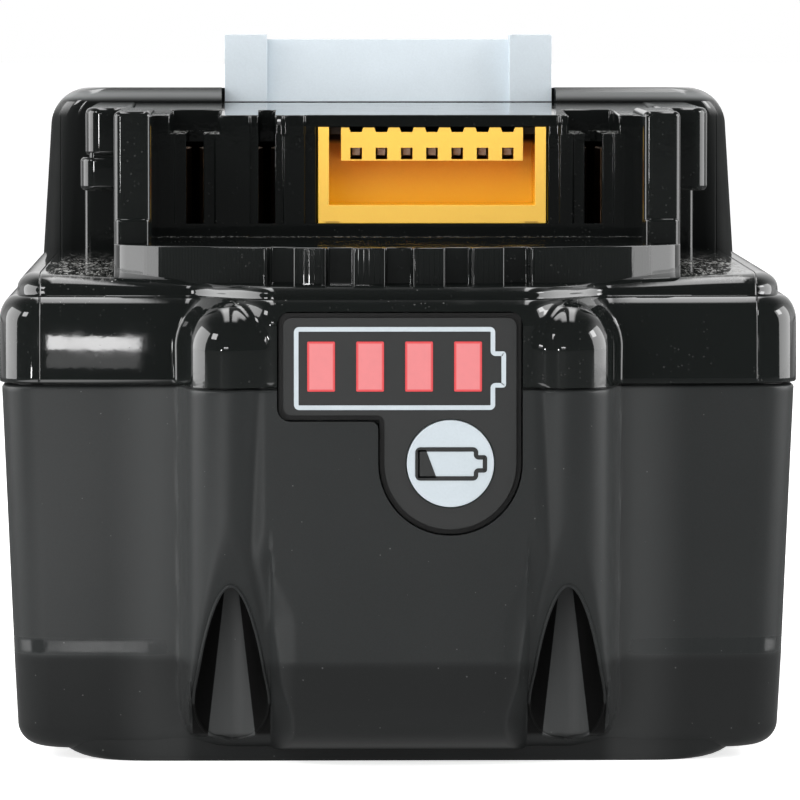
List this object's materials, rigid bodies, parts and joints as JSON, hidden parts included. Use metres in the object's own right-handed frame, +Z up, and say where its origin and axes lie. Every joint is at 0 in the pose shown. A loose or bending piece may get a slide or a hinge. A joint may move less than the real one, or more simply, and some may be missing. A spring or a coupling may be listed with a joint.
{
  "type": "power tool battery pack",
  "caption": "Slide-on battery pack for a cordless tool: two case halves, raised rail, signal connector, sprung latch and release button, charge gauge with check button, cells and boards inside.",
  "frame": {"origin": "middle of the bounding box at the underside of the foot", "axes": "+Z up, -Y towards the gauge and connector end, +Y towards the release button, X across the pack"},
  "size_m": [0.076, 0.116, 0.0688],
  "materials": {
    "case_gloss": "polished black",
    "case_satin": "satin dark grey",
    "steel": "zinc plated",
    "latch_grey": "pale blue grey nylon",
    "release_red": "red nylon",
    "black_plastic": "fine grain",
    "label_film": "printed film",
    "window_red": "lit red light guide",
    "button_white": "white cap with a printed pictogram",
    "board_green": "solder mask",
    "led_white": "moulded lens",
    "ribbon_grey": "flat lead",
    "ceramic_tan": "fired chip body",
    "ceramic_white": "fired fuse body",
    "epoxy_brown": "dipped bead",
    "connector_yellow": "yellow orange moulding",
    "contact_brass": "plated contact",
    "terminal_copper": "spring copper alloy",
    "frame_plastic": "moulded",
    "cell_sleeve": "shrunk sleeve over a steel can",
    "insulator": "insulating paper",
    "nickel_strip": "spot welded strip"
  },
  "bodies": {
    "pack": {"upper_case": "case_gloss", "lower_case": "case_satin", "case_screws": "steel", "latch_spring_left": "steel", "latch_spring_right": "steel", "gauge_bezel": "black_plastic", "gauge_label": "label_film", "gauge_windows": "window_red", "gauge_board": "board_green", "gauge_leds": "led_white", "check_switch": "steel", "gauge_ribbon": "ribbon_grey", "main_board": "board_green", "board_screws": "steel", "control_chip": "black_plastic", "power_transistors": "black_plastic", "board_capacitors": "ceramic_tan", "main_fuse": "ceramic_white", "temperature_sensor": "epoxy_brown", "signal_connector": "connector_yellow", "signal_pins": "contact_brass", "positive_terminal": "terminal_copper", "negative_terminal": "terminal_copper", "sense_terminal": "terminal_copper", "cell_frame_left": "frame_plastic", "cell_frame_right": "frame_plastic", "cell_1": "cell_sleeve", "cell_2": "cell_sleeve", "cell_3": "cell_sleeve", "cell_4": "cell_sleeve", "cell_5": "cell_sleeve", "cell_6": "cell_sleeve", "cell_7": "cell_sleeve", "cell_8": "cell_sleeve", "cell_9": "cell_sleeve", "cell_10": "cell_sleeve", "cell_rings": "insulator", "link_left_1": "nickel_strip", "link_left_2": "nickel_strip", "link_left_3": "nickel_strip", "link_right_1": "nickel_strip", "link_right_2": "nickel_strip", "link_right_3": "nickel_strip", "side_sheet_left": "insulator", "side_sheet_right": "insulator"},
    "latch": {"latch_hook": "latch_grey", "release_button": "release_red"},
    "gauge_button": {"check_button": "button_white", "switch_plunger": "black_plastic"}
  },
  "joints": [
    {"name": "latch_slide", "type": "slide", "parent": "pack", "child": "latch", "axis": [0, 0, -1], "range_m": [0, 0.007], "stiffness_N_per_m": 800, "springref_m": -0.004, "deforming": ["latch_spring_left", "latch_spring_right"]},
    {"name": "check_press", "type": "slide", "parent": "pack", "child": "gauge_button", "axis": [0, 1, 0], "range_m": [0, 0.0006], "stiffness_N_per_m": 400, "springref_m": -0.0005}
  ]
}
